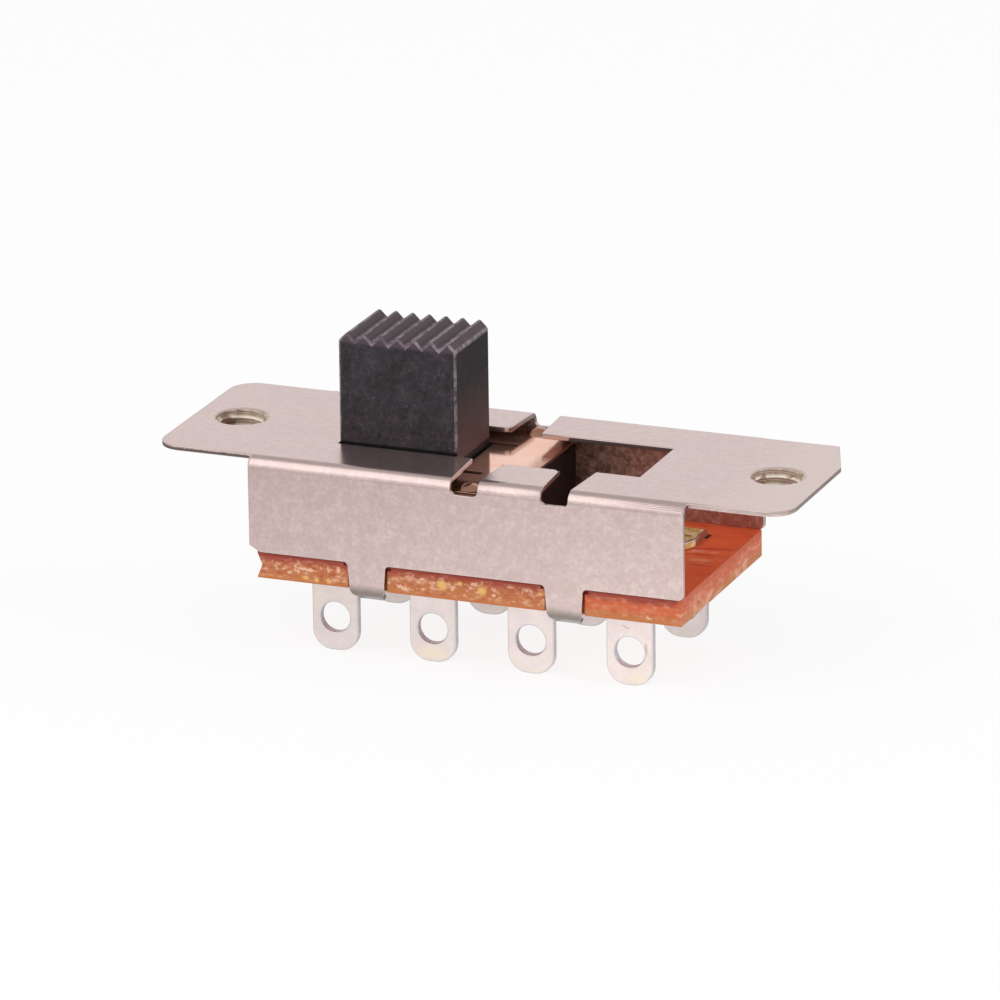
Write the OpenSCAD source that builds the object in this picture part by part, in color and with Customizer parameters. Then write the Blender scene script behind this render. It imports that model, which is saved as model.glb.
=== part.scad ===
// Panel-mounted slide switch: two poles, three positions, eight solder lugs.
// Millimetres. X runs along the slider's travel, -Y is the front and Z = 0 is at the tips
// of the lugs. The slider stands at the -X end of its slot, its rest position.

/* [Frame] */
// Width over the two folded walls
body_w = 13.6; // [11.3:0.05:17]
// Height from the walls' lower edges to the top face
wall_h = 5.65; // [4.7:0.05:7.5]
// Length of each mounting ear beyond the walls
ear_len = 6.02; // [5:0.01:9]
// Distance of the ears' edges inside the walls' outer faces
ear_in = 0.55; // [0.4:0.05:1.5]
// Thickness of the sheet
sheet_t = 0.3; // [0.25:0.01:0.4]
// Outside radius of the long folds
fold_r = 0.7; // [0.5:0.05:0.8]
// Radius of the ears' corners
ear_r = 1.5; // [0.4:0.1:2]
// Length of the cut across one corner of an ear, along the plate
clip_len = 1.35; // [0.5:0.05:2]
// Width of the same cut, across the plate
clip_w = 3.6; // [1:0.1:4]
// Length of the cut on one lower corner of the front wall
nick_len = 0.64; // [0.3:0.02:1]
// Height of the same cut
nick_h = 0.37; // [0.2:0.01:0.6]
// Radius of the walls' other lower corners
wall_r = 0.35; // [0.1:0.05:0.6]

/* [Screw holes] */
// Distance from the end of an ear to its screw hole
hole_edge = 2.82; // [2.5:0.01:4]
// Thread's minor diameter in the screw holes
tap_d = 2.5; // [1.6:0.1:3.2]
// Wall of the drawn collar round a screw hole
collar_t = 0.5; // [0.3:0.05:0.8]
// Depth of the collar below the sheet
collar_h = 1; // [0.6:0.1:1.6]
// Radius of the rolled mouth of a screw hole
mouth_r = 0.4; // [0.1:0.05:0.5]

/* [Detent notches] */
// Width of a notch at the fold
notch_w = 1.65; // [1.3:0.05:2.1]
// How far each side of a notch leans out from the fold to the slot
notch_lean = 0.2; // [0:0.02:0.3]
// Depth of a notch, from the top face down the wall
notch_h = 0.88; // [0.84:0.02:1.3]
// Radius of a notch's lower corners
notch_r = 0.3; // [0.1:0.05:0.4]
// How far the tongue between two notches stands back from the slot
tongue_back = 0.35; // [0:0.05:0.8]
// Radius of the tongue's corners
tongue_r = 0.4; // [0.1:0.05:0.5]

/* [Crimp tabs] */
// Distance of each crimp tab from the middle of the wall
tab_x = 6; // [4:0.1:8]
// Width of a crimp tab where it leaves the wall
tab_w = 2.3; // [1.8:0.05:2.9]
// Width of a crimp tab where it starts to bend
tab_mid_w = 2.1; // [1.8:0.05:2.9]
// Width of a crimp tab at its end
tab_end_w = 1.45; // [0.8:0.05:1.75]
// Angle that a tab is bent through, in under the board
tab_bend = 60; // [40:5:75]
// Length of a tab beyond its bend
tab_lap = 0.75; // [0.5:0.05:1.2]
// Inside radius of a tab's bend
tab_r = 0.15; // [0.1:0.05:0.3]
// Radius where a tab leaves the wall
root_r = 0.25; // [0.1:0.05:0.4]

/* [Board] */
// Thickness of the board
board_t = 1.6; // [1.2:0.05:2.4]
// Distance of the board's ends inside the walls' ends
board_in = 0.3; // [0.1:0.05:1]
// Distance of the board's edges inside the walls' outer faces
edge_in = 0.2; // [0.1:0.05:0.3]
// Offset of the board along the switch
board_shift = 0.12; // [0:0.02:0.24]
// Depth of the groove across one end of the board
groove_d = 0.28; // [0.1:0.02:0.5]

/* [Terminals] */
// Distance between neighbouring terminals
pitch = 6; // [4.8:0.1:7.2]
// Length of a lug below the board
lug_h = 4.6; // [4:0.1:8]
// Width of a lug
lug_w = 2.82; // [2.36:0.02:3.3]
// Thickness of the terminal sheet
lug_t = 0.5; // [0.4:0.02:0.6]
// Diameter of the wire hole in a lug
wire_d = 1.8; // [1.2:0.05:2]
// Height of the wire hole above the lug's tip
wire_z = 2; // [1.7:0.05:2.6]
// Radius of the corners at a lug's tip
lug_r = 1.2; // [0.3:0.05:1.35]
// Distance from the walls' outer faces to the middle of a row of lugs
row_in = 2.45; // [2.1:0.05:2.8]
// Radius of a contact pad's inner corners
pad_r = 1.2; // [0.3:0.05:1.35]
// Gap between the front and back rows of pads
pad_gap = 2.4; // [1.5:0.1:3]

/* [Slider] */
// Travel from one position to the next
step = 5.45; // [4.5:0.01:6.6]
// How far the slider can run on past its end notches
over_run = 0.11; // [0:0.01:0.3]
// Offset of the slot along the switch
slot_shift = -0.1; // [-0.2:0.02:0]
// How far an end of the slider can stand out past the walls
end_out = 0.46; // [0:0.01:0.8]
// Length of the knob
knob_len = 7.2; // [5.5:0.01:8.7]
// Width of the knob
knob_w = 5.1; // [4:0.05:5.6]
// Height of the knob's ridges above the top face
knob_h = 6.6; // [4:0.1:12]
// Number of ridges on the knob
ridges = 7; // [3:1:9]
// Depth of the ridges
ridge_h = 0.5; // [0.2:0.05:0.7]
// Radius of the knob's upright corners
knob_r = 0.15; // [0.05:0.05:0.5]
// Length of the slider past its detent bumps
slider_end = 2.55; // [1.5:0.05:3]

/* [Detent spring] */
// Thickness of the detent spring
spring_t = 0.2; // [0.1:0.02:0.3]
// Gap from the spring to the sheet above it
spring_gap = 0.55; // [0.35:0.01:0.6]
// Diameter of a detent bump
bump_w = 1.5; // [1:0.05:1.8]
// Height of a detent bump
bump_h = 0.28; // [0.1:0.02:0.3]
// Width of the slits that free the spring's arms
slit_w = 0.5; // [0.15:0.05:0.6]
// How far a slit's end lies inside the middle of the detent bumps
slit_in = 0.25; // [0:0.05:0.6]
// Radius of the spring's corners
arm_r = 1.2; // [0.3:0.1:2]

/* [Moving contacts] */
// Width of a contact
contact_w = 1.8; // [1.2:0.1:2.2]
// Thickness of a contact
contact_t = 0.3; // [0.2:0.02:0.36]
// Outside radius of a contact's feet
foot_r = 0.8; // [0.6:0.05:0.95]
// Outside diameter of a contact spring
coil_d = 2; // [1.4:0.1:2.2]
// Wire diameter of a contact spring
wire_t = 0.28; // [0.2:0.02:0.34]
// Turns of a contact spring
turns = 4; // [2:1:5]

/* [Hidden] */
$fn = 48;

// Clearances
fit_gap = 0.1;       // round what passes through the board, and inside its bends
glide_gap = 0.04;    // between faces that slide on each other
side_gap = 0.2;      // beside the knob in its slot
end_gap = 0.05;      // before the knob meets an end of its slot
foot_gap = 0.15;     // between the contact pads and the slider's body
wall_gap = 1.45;     // between the walls and the slider's body
arm_gap = 0.26;      // between the walls and the detent spring's arms
window_gap = 0.2;    // between the knob and the ends of the spring's window
window_side = 0.4;   // between the knob and the sides of that window
pocket_gap = 0.12;   // round a contact and its spring in the slider
eps = 0.01;          // overshoot of a cut

// Heights
board_z = lug_h;
board_top = board_z + board_t;
top_z = board_top + wall_h;
sheet_z = top_z - sheet_t;
pad_z = board_top + lug_t;

// Plan sizes
rest_x = slot_shift - step - over_run;
slider_len = 2 * (step + slider_end);
body_len = 2 * (slider_len / 2 - rest_x - end_out);
plate_len = body_len + 2 * ear_len;
flat_w = body_w - 2 * fold_r;
ear_w = body_w - 2 * ear_in;
hole_x = plate_len / 2 - hole_edge;
slot_len = knob_len + 2 * (step + over_run + end_gap);
slot_w = knob_w + 2 * side_gap;
inner_w = body_w - 2 * sheet_t;
row_y = body_w / 2 - row_in;

// Board
board_len = body_len - 2 * board_in;
board_w = body_w - 2 * edge_in;
groove_h = 0.45 * board_t;

// Slider and what rides in it
spring_z = sheet_z - spring_gap - spring_t;
slider_z = pad_z + foot_gap;
slider_w = inner_w - 2 * wall_gap;
window_len = knob_len + 2 * window_gap;
window_w = knob_w + 2 * window_side;
arm_edge = inner_w / 2 - arm_gap;
bump_r = (pow(bump_w / 2, 2) + pow(bump_h, 2)) / (2 * bump_h);
foot_z = pad_z + glide_gap;
contact_y = (pad_gap / 2 + row_y - lug_t / 2) / 2;
contact_len = pitch + 2 * foot_r + 0.6;
contact_top = foot_z + foot_r;
pocket_z = contact_top + 0.5;
roof_t = 0.8;
well_top = spring_z - roof_t;

// Rectangle with round corners, centred.
module round_rect(len, w, r) {
    square([len - 2 * r, w], center = true);
    square([len, w - 2 * r], center = true);
    for (x = [-1, 1], y = [-1, 1])
        translate([x * (len / 2 - r), y * (w / 2 - r)]) circle(r);
}

// What a round corner of radius r takes off a square corner at the origin, towards +X +Y.
module corner(r) {
    difference() {
        translate([-eps, -eps]) square(r + eps);
        translate([r, r]) circle(r);
    }
}

// Quarter of a bent strip along X: its inner face turns from -Z to -Y about the X axis.
module bend(len, r_in, t) {
    rotate([90, 0, 90]) linear_extrude(len, center = true) intersection() {
        difference() {
            circle(r_in + t);
            circle(r_in);
        }
        square(r_in + t + eps);
    }
}

// Stands a shape drawn in X and Z up in that plane, centred on Y = 0.
module upright(t) {
    rotate([90, 0, 0]) linear_extrude(t, center = true) children();
}

// Places its children for both rotations of the frame's half turn.
module both_ways() {
    for (a = [0, 180]) rotate(a) children();
}

// ---- frame ----

module plate_outline() {
    difference() {
        union() {
            square([body_len, flat_w], center = true);
            difference() {
                round_rect(plate_len, ear_w, ear_r);
                square([body_len, ear_w + 2 * eps], center = true);
            }
        }
        translate([plate_len / 2, ear_w / 2])
            polygon([[-clip_len, eps], [eps, eps], [eps, -clip_w], [0, -clip_w], [-clip_len, 0]]);
        translate([slot_shift, 0]) square([slot_len, slot_w], center = true);
        both_ways() tongue_relief();
    }
}

// The tongue between the two notches is a little short, with round corners.
module tongue_relief() {
    edge_y = -slot_w / 2 - tongue_back;
    side_x = notch_w / 2 + notch_lean;
    translate([0, edge_y]) square([step, tongue_back + eps]);
    translate([side_x, edge_y]) mirror([0, 1]) corner(tongue_r);
    translate([step - side_x, edge_y]) rotate(180) corner(tongue_r);
}

// A notch in the wall, seen from the front, about its middle on the top face.
module notch_shape() {
    difference() {
        translate([-notch_w / 2, -notch_h]) square([notch_w, notch_h + eps]);
        translate([-notch_w / 2, -notch_h]) corner(notch_r);
        translate([notch_w / 2, -notch_h]) mirror([1, 0]) corner(notch_r);
    }
}

// The same notch in the flat plate, seen from above, from the slot to the fold.
module notch_plan() {
    side_x = notch_w / 2 + notch_lean;
    polygon([[-side_x, eps - slot_w / 2], [-notch_w / 2, -flat_w / 2],
             [notch_w / 2, -flat_w / 2], [side_x, eps - slot_w / 2]]);
}

module notches() {
    for (x = [0, step]) translate([x, 0, 0]) {
        translate([0, -body_w / 2 + fold_r / 2, top_z]) upright(fold_r + 2 * eps) notch_shape();
        translate([0, 0, sheet_z - eps]) linear_extrude(sheet_t + 2 * eps) notch_plan();
    }
}

// A wall in X and Z, from the fold down to the board's lower face.
module wall_shape(nicked) {
    difference() {
        translate([-body_len / 2, 0]) square([body_len, wall_h - fold_r]);
        translate([body_len / 2, 0]) mirror([1, 0]) corner(wall_r);
        translate([-body_len / 2, 0])
            if (nicked) polygon([[-eps, -eps], [nick_len, -eps], [nick_len, 0],
                                 [0, nick_h], [-eps, nick_h]]);
            else corner(wall_r);
    }
    for (x = [-tab_x, tab_x], side = [0, 1]) translate([x, 0]) mirror([side, 0])
        translate([tab_w / 2, 0]) mirror([0, 1]) corner(root_r);
}

// A crimp tab from the side, in Y and Z: down past the board, then bent in under its edge.
module tab_profile() {
    out_r = tab_r + sheet_t;
    translate([-body_w / 2, board_z]) square([sheet_t, board_t + eps]);
    translate([out_r - body_w / 2, board_z]) {
        intersection() {
            difference() {
                circle(out_r);
                circle(tab_r);
            }
            polygon([[0, 0], [-2 * out_r, 0], [-2 * out_r, -2 * out_r * tan(tab_bend)]]);
        }
        rotate(tab_bend) translate([-out_r, -tab_lap]) square([sheet_t, tab_lap]);
    }
}

// The same tab from the front, in X and Z: its sides draw in a little, then more past the bend.
module tab_outline() {
    low_z = board_z - (tab_r + sheet_t) * sin(tab_bend) - tab_lap * cos(tab_bend);
    for (side = [0, 1]) mirror([side, 0])
        polygon([[-eps, low_z], [-eps, board_top + 2 * eps], [tab_w / 2, board_top + 2 * eps],
                 [tab_w / 2, board_top - root_r], [tab_mid_w / 2, board_z], [tab_end_w / 2, low_z]]);
}

module crimp_tab() {
    intersection() {
        rotate([90, 0, 90]) linear_extrude(tab_w + 2 * eps, center = true) tab_profile();
        upright(body_w + 2 * eps) tab_outline();
    }
}

module wall(nicked) {
    translate([0, -flat_w / 2, top_z - fold_r])
        rotate(180) bend(body_len, fold_r - sheet_t, sheet_t);
    translate([0, (sheet_t - body_w) / 2, board_top]) upright(sheet_t) wall_shape(nicked);
    for (x = [-tab_x, tab_x]) translate([x, 0, 0]) crimp_tab();
}

module screw_collar() {
    translate([0, 0, sheet_z - collar_h]) cylinder(h = collar_h + eps, d = tap_d + 2 * collar_t);
}

module screw_bore() {
    translate([0, 0, sheet_z - collar_h - eps]) cylinder(h = collar_h + sheet_t + 2 * eps, d = tap_d);
    translate([0, 0, top_z]) rotate_extrude() difference() {
        translate([0, -mouth_r]) square([tap_d / 2 + mouth_r, mouth_r + eps]);
        translate([tap_d / 2 + mouth_r, -mouth_r]) circle(mouth_r);
    }
}

module frame() {
    color([0.80, 0.75, 0.74]) difference() {
        union() {
            translate([0, 0, sheet_z]) linear_extrude(sheet_t) plate_outline();
            wall(true);
            rotate(180) wall(false);
            for (x = [-hole_x, hole_x]) translate([x, 0, 0]) screw_collar();
        }
        both_ways() notches();
        for (x = [-hole_x, hole_x]) translate([x, 0, 0]) screw_bore();
    }
}

// ---- board ----

function terminal_x(i) = board_shift + (i - 2.5) * pitch;

module board_shape() {
    notch_in = (board_w - inner_w) / 2 + fit_gap;
    difference() {
        translate([board_shift, 0]) square([board_len, board_w], center = true);
        for (i = [1:4], side = [-1, 1])
            translate([terminal_x(i), side * row_y])
                square([lug_w + 2 * fit_gap, lug_t + 2 * fit_gap], center = true);
        for (x = [-tab_x, tab_x], side = [-1, 1])
            translate([x, side * (board_w / 2 - notch_in / 2 + eps / 2)])
                square([tab_w + fit_gap, notch_in + eps], center = true);
    }
}

module base_board() {
    root_w = tab_w + 2 * root_r + fit_gap;
    color([0.72, 0.34, 0.20]) difference() {
        translate([0, 0, board_z]) linear_extrude(board_t) board_shape();
        // the tabs' round roots reach a little below the walls' edges
        for (x = [-tab_x, tab_x], side = [-1, 1])
            translate([x, side * inner_w / 2 + side * edge_in, board_top])
                cube([root_w, 2 * edge_in + 2 * fit_gap, 2 * (root_r + fit_gap / 2)], center = true);
        // the groove left by the shear at one end
        translate([board_shift - board_len / 2, 0, board_z + board_t / 2]) upright(board_w + 2 * eps)
            polygon([[-eps, -groove_h], [groove_d, 0], [-eps, groove_h]]);
    }
}

// ---- terminals ----

module lug_shape() {
    difference() {
        translate([-lug_w / 2, 0]) square([lug_w, board_top - fit_gap]);
        translate([-lug_w / 2, 0]) corner(lug_r);
        translate([lug_w / 2, 0]) mirror([1, 0]) corner(lug_r);
        translate([0, wire_z]) circle(d = wire_d);
    }
}

// A terminal of the back row; its pad lies on the board and points to the middle.
module terminal(i, side) {
    bend_y = row_y - lug_t / 2 - fit_gap;
    pad_len = bend_y - pad_gap / 2;
    color([0.80, 0.76, 0.72]) translate([terminal_x(i), 0, 0]) mirror([0, side < 0 ? 1 : 0, 0]) {
        translate([0, row_y, 0]) upright(lug_t) lug_shape();
        translate([0, bend_y, board_top - fit_gap]) bend(lug_w, fit_gap, lug_t);
        translate([0, bend_y - pad_len / 2, board_top]) linear_extrude(lug_t) {
            round_rect(lug_w, pad_len, pad_r);
            translate([0, pad_len / 4]) square([lug_w, pad_len / 2], center = true);
        }
    }
}

// ---- slider ----

// The knob's ridged outline in X and Z, about its own middle.
module knob_shape() {
    rib = knob_len / ridges;
    polygon(concat(
        [[-knob_len / 2, spring_z - eps]],
        [for (i = [0:2 * ridges])
            [-knob_len / 2 + i * rib / 2, top_z + knob_h - (i % 2 == 0 ? ridge_h : 0)]],
        [[knob_len / 2, spring_z - eps]]));
}

module contact_pockets() {
    for (side = [-1, 1]) translate([0, side * contact_y, 0]) {
        translate([0, 0, (slider_z + pocket_z) / 2 - eps])
            cube([contact_len + 2 * pocket_gap, contact_w + 2 * pocket_gap,
                  pocket_z - slider_z + 2 * eps], center = true);
        translate([0, 0, pocket_z - eps])
            cylinder(h = well_top - pocket_z + eps, d = coil_d + 2 * pocket_gap);
    }
}

module slider() {
    color([0.16, 0.15, 0.17]) translate([rest_x, 0, 0]) difference() {
        union() {
            translate([0, 0, slider_z]) linear_extrude(spring_z - slider_z)
                round_rect(slider_len, slider_w, 0.4);
            intersection() {
                upright(knob_w) knob_shape();
                translate([0, 0, spring_z - 2 * eps]) linear_extrude(top_z + knob_h)
                    round_rect(knob_len, knob_w, knob_r);
            }
        }
        contact_pockets();
    }
}

// ---- detent spring ----

module spring_shape() {
    difference() {
        round_rect(slider_len - 0.1, 2 * arm_edge, arm_r);
        square([window_len, window_w], center = true);
        for (side = [-1, 1])
            translate([0, side * (window_w - slit_w) / 2])
                square([2 * (step - slit_in), slit_w], center = true);
    }
}

// The middles of the spheres that the four round bumps are parts of.
module bump_sites() {
    for (x = [-step, step], side = [-1, 1])
        translate([x, side * (arm_edge - bump_w / 2 - fit_gap), spring_z + spring_t + bump_h - bump_r])
            children();
}

module detent_spring() {
    color([0.86, 0.60, 0.46]) translate([rest_x, 0, 0]) difference() {
        union() {
            translate([0, 0, spring_z]) linear_extrude(spring_t) spring_shape();
            intersection() {
                bump_sites() sphere(bump_r);
                translate([0, 0, spring_z + spring_t / 2]) linear_extrude(bump_h + spring_t)
                    square([slider_len, inner_w], center = true);
            }
        }
        bump_sites() sphere(bump_r - spring_t);
    }
}

// ---- moving contacts ----

// A contact in X and Z about its middle: a strip with two round feet pressed down into it.
module contact_shape() {
    difference() {
        translate([-contact_len / 2, foot_r - contact_t]) square([contact_len, contact_t]);
        for (x = [-1, 1]) translate([x * pitch / 2, foot_r]) circle(foot_r - contact_t / 2);
    }
    for (x = [-1, 1]) translate([x * pitch / 2, foot_r]) difference() {
        circle(foot_r);
        circle(foot_r - contact_t);
        translate([-foot_r, 0]) square(2 * foot_r);
    }
}

module moving_contact(side) {
    color([0.84, 0.70, 0.42]) translate([rest_x, side * contact_y, foot_z])
        upright(contact_w) contact_shape();
}

// Point j of the round wire's ring i; the wire climbs from z0 to z1 round the coil's axis.
coil_sides = 8;
coil_steps = 20;
function coil_point(i, j, z0, z1) =
    let (turn = i / coil_steps,
         a = 360 * turn,
         b = 360 * j / coil_sides,
         r = (coil_d - wire_t) / 2 + wire_t / 2 * cos(b))
    [r * cos(a), r * sin(a), z0 + (z1 - z0) * turn / turns + wire_t / 2 * sin(b)];

module coil(z0, z1) {
    rings = turns * coil_steps;
    s = coil_sides;
    polyhedron(
        points = [for (i = [0:rings], j = [0:s - 1]) coil_point(i, j, z0, z1)],
        faces = concat(
            [[for (j = [0:s - 1]) j]],
            [for (i = [0:rings - 1], j = [0:s - 1])
                let (k = (j + 1) % s) [i * s + j, (i + 1) * s + j, (i + 1) * s + k, i * s + k]],
            [[for (j = [s - 1:-1:0]) rings * s + j]]));
}

module contact_spring(side) {
    color([0.75, 0.75, 0.78]) translate([rest_x, side * contact_y, 0])
        coil(contact_top + wire_t / 2, well_top - wire_t / 2);
}

frame();
base_board();
terminal(1, -1);  // terminal_front_1
terminal(2, -1);  // terminal_front_2
terminal(3, -1);  // terminal_front_3
terminal(4, -1);  // terminal_front_4
terminal(1, 1);  // terminal_back_1
terminal(2, 1);  // terminal_back_2
terminal(3, 1);  // terminal_back_3
terminal(4, 1);  // terminal_back_4
slider();
detent_spring();
moving_contact(-1);  // moving_contact_front
moving_contact(1);  // moving_contact_back
contact_spring(-1);  // contact_spring_front
contact_spring(1);  // contact_spring_back
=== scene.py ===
import math

import bmesh
import bpy
import numpy as np
from mathutils import Matrix, Vector


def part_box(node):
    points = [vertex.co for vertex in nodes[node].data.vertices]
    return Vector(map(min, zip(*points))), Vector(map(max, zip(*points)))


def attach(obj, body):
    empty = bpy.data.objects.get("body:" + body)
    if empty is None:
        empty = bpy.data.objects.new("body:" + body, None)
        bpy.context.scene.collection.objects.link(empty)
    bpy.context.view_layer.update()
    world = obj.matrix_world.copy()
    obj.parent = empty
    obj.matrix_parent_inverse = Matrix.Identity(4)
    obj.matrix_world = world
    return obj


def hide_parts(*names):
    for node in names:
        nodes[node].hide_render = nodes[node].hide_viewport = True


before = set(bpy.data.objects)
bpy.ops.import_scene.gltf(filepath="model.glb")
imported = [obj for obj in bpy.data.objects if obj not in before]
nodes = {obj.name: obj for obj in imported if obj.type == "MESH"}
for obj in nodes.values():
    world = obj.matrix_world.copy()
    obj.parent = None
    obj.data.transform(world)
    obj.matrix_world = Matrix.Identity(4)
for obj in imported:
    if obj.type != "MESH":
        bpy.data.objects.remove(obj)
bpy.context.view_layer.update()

mm = 0.001
frameLow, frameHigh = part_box("frame")
boardLow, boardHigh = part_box("base_board")
topZ = frameHigh.z
plateCentre = Vector(((frameLow.x + frameHigh.x) / 2, (frameLow.y + frameHigh.y) / 2, topZ))
knobOnly = topZ + mm                # above this height the slider is only its knob
creaseAngle = math.radians(28)      # faces that meet more sharply than this have an edge between them
flatAngle = math.radians(0.4)       # those that meet less sharply than this are one flat face
# the order of a piece's materials: its own, its cut edge's, its hole's, and the one of what lies
# inside the switch, which is the frame's inner faces or a terminal's pad
ownFinish, edgeFinish, holeFinish, innerFinish = range(4)
print("frame loaded:", len(nodes), "nodes")


def metres(lengths):
    # the pieces' and finishes' settings are in millimetres, and the room's are in metres
    return [length * mm for length in lengths]


def addNode(tree, kind, settings=None, **inputs):
    # one shader node; an input is a number, a colour or another node's socket
    made = tree.nodes.new("ShaderNode" + kind)
    for key, value in (settings or {}).items():
        setattr(made, key, value)
    for key, value in inputs.items():
        numbered = key[0] == "n" and key[1:].isdigit()
        socket = made.inputs[int(key[1:]) if numbered else key.replace("_", " ")]
        if isinstance(value, bpy.types.NodeSocket):
            tree.links.new(value, socket)
        else:
            socket.default_value = value
    return made


def startMaterial(name):
    material = bpy.data.materials.new(name)
    material.use_nodes = True
    tree = material.node_tree
    tree.nodes.clear()
    place = addNode(tree, "TexCoord").outputs["Object"]
    return material, tree, place


def endMaterial(tree, surface):
    out = tree.nodes.new("ShaderNodeOutputMaterial")
    tree.links.new(surface, out.inputs["Surface"])


def noise(tree, place, size, detail=3.0, roughness=0.55, distortion=0.0):
    # size is the width of one blotch in millimetres
    return addNode(tree, "TexNoise", Vector=place, Scale=1.0 / (size * mm), Detail=detail,
                   Roughness=roughness, Distortion=distortion).outputs["Fac"]


def ramp(tree, fac, stops):
    made = addNode(tree, "ValToRGB", Fac=fac)
    band = made.color_ramp
    while len(band.elements) < len(stops):
        band.elements.new(0.5)
    for element, (position, colour) in zip(band.elements, stops):
        element.position = position
        element.color = (*colour, 1.0)
    return made.outputs["Color"]


def grey(value):
    return (value, value, value)


def mixColour(tree, fac, a, b):
    made = addNode(tree, "Mix", {"data_type": "RGBA"}, n0=fac)
    for socket, value in ((made.inputs[6], a), (made.inputs[7], b)):
        if isinstance(value, bpy.types.NodeSocket):
            tree.links.new(value, socket)
        else:
            socket.default_value = (*value, 1.0)
    return made.outputs[2]


def mixNumber(tree, fac, a, b):
    return addNode(tree, "Mix", {"data_type": "FLOAT"}, n0=fac, n2=a, n3=b).outputs[0]


def mathNode(tree, operation, a, b=0.0):
    return addNode(tree, "Math", {"operation": operation}, n0=a, n1=b).outputs[0]


def times(tree, a, b):
    return mathNode(tree, "MULTIPLY", a, b)


def plus(tree, a, b):
    return mathNode(tree, "ADD", a, b)


def vectorMath(tree, operation, *values):
    # the result's vector, or its number for a length, a distance or a dot product
    inputs = {"n%d" % i: value for i, value in enumerate(values)}
    made = addNode(tree, "VectorMath", {"operation": operation}, **inputs)
    return made.outputs["Value" if operation in ("LENGTH", "DISTANCE", "DOT_PRODUCT") else "Vector"]


def between(tree, value, low, high, atLow=0.0, atHigh=1.0, kind="SMOOTHSTEP"):
    # goes from atLow to atHigh while the value goes from low to high, and stays level outside them
    return addNode(tree, "MapRange", {"interpolation_type": kind}, n0=value, n1=low, n2=high,
                   n3=atLow, n4=atHigh).outputs[0]


def xyz(tree, place):
    parts = addNode(tree, "SeparateXYZ", Vector=place).outputs
    return parts["X"], parts["Y"], parts["Z"]


def marks(tree, place, ragged, spots, axis=1):
    # soft-edged ellipses with ragged rims, joined into one mask; each is a centre, half lengths along
    # X, Y and Z in millimetres, and a tilt in degrees about one axis
    tatter = 0.22            # width of the rim's ragged bits, in millimetres
    rim = (0.45, 1.25)       # where the mark fades out, as a share of its half lengths
    wander = addNode(tree, "TexNoise", Vector=place, Scale=1.0 / (tatter * mm), Detail=4.0)
    moved = vectorMath(tree, "MULTIPLY_ADD", wander.outputs["Color"], (ragged * mm,) * 3, place)
    mask = None
    for centre, reach, tilt in spots:
        turn = [0.0, 0.0, 0.0]
        turn[axis] = math.radians(tilt)
        spot = [(c + ragged / 2) * mm for c in centre]
        near = addNode(tree, "Mapping", {"vector_type": "TEXTURE"}, Vector=moved, Location=spot,
                       Rotation=turn, Scale=metres(reach)).outputs["Vector"]
        one = between(tree, vectorMath(tree, "LENGTH", near), *rim, 1.0, 0.0)
        mask = one if mask is None else mathNode(tree, "MAXIMUM", mask, one)
    return mask


def stretch(tree, place, scale):
    return addNode(tree, "Mapping", Vector=place, Scale=scale).outputs["Vector"]


def bump(tree, height, depth, strength):
    # depth in millimetres
    made = addNode(tree, "Bump", Height=height, Distance=depth * mm, Strength=strength)
    return made.outputs["Normal"]


def finishMaterial(material, tree, tone, relief, **sockets):
    skin = addNode(tree, "BsdfPrincipled", Base_Color=tone, Normal=relief, **sockets)
    endMaterial(tree, skin.outputs[0])
    return material


cameraSettings = {
    "azimuth": 21.774, "elevation": 18.434, "roll": -0.724,
    "distance": 497.1, "lens": 314.2, "sensor": 36.0, "slideRight": -0.407, "slideUp": -3.084,
    "clip": (0.01, 10.0),
}


def makeCamera(s, target):
    az, el, roll = (math.radians(s[k]) for k in ("azimuth", "elevation", "roll"))
    back = Vector((math.sin(az) * math.cos(el), -math.cos(az) * math.cos(el), math.sin(el)))
    flat = Vector((math.cos(az), math.sin(az), 0.0))
    rise = back.cross(flat)
    right = flat * math.cos(roll) + rise * math.sin(roll)
    up = rise * math.cos(roll) - flat * math.sin(roll)
    data = bpy.data.cameras.new("camera")
    data.sensor_width = s["sensor"]
    data.lens = s["lens"]
    data.clip_start, data.clip_end = s["clip"]
    camera = bpy.data.objects.new("camera", data)
    bpy.context.scene.collection.objects.link(camera)
    spot = target + (back * s["distance"] + right * s["slideRight"] + up * s["slideUp"]) * mm
    camera.matrix_world = Matrix((
        (right.x, up.x, back.x, spot.x),
        (right.y, up.y, back.y, spot.y),
        (right.z, up.z, back.z, spot.z),
        (0.0, 0.0, 0.0, 1.0)))
    bpy.context.scene.camera = camera


makeCamera(cameraSettings, plateCentre)
print("camera set")


roomSettings = {
    "floorSize": 1.2, "floorGlow": 0.88, "floorColour": (0.82, 0.82, 0.82),
    # what polished metal sees of the floor: a pool of light in front, shade under and behind the object
    "poolSpot": (0.022, -0.014, 0.0), "poolReach": (0.010, 0.070), "poolLevel": (1.20, 0.67),
    "underEdge": (-0.0060, -0.0010), "underLevel": 0.78, "behindEdge": (0.008, 0.030), "behindLevel": 0.55,
    "skyDiffuse": 0.62, "skyMirror": 0.95, "skyOverhead": 0.56, "skyEdge": (0.38, 0.72),
    # a broad soft light up in front, towards the left
    "softLight": (-0.352, -0.560, 0.750), "softEdge": (0.79, 0.995), "softLevel": 1.02,
    "lamps": (
        # name, watts, width and height, place in metres, seen in polished metal
        ("frontLeftPanel", 1.5, (0.46, 0.44), (-0.158, -0.321, 0.285), False),
        ("rightPanel", 0.90, (0.30, 0.16), (0.42, 0.02, 0.20), False),
    ),
}


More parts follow.
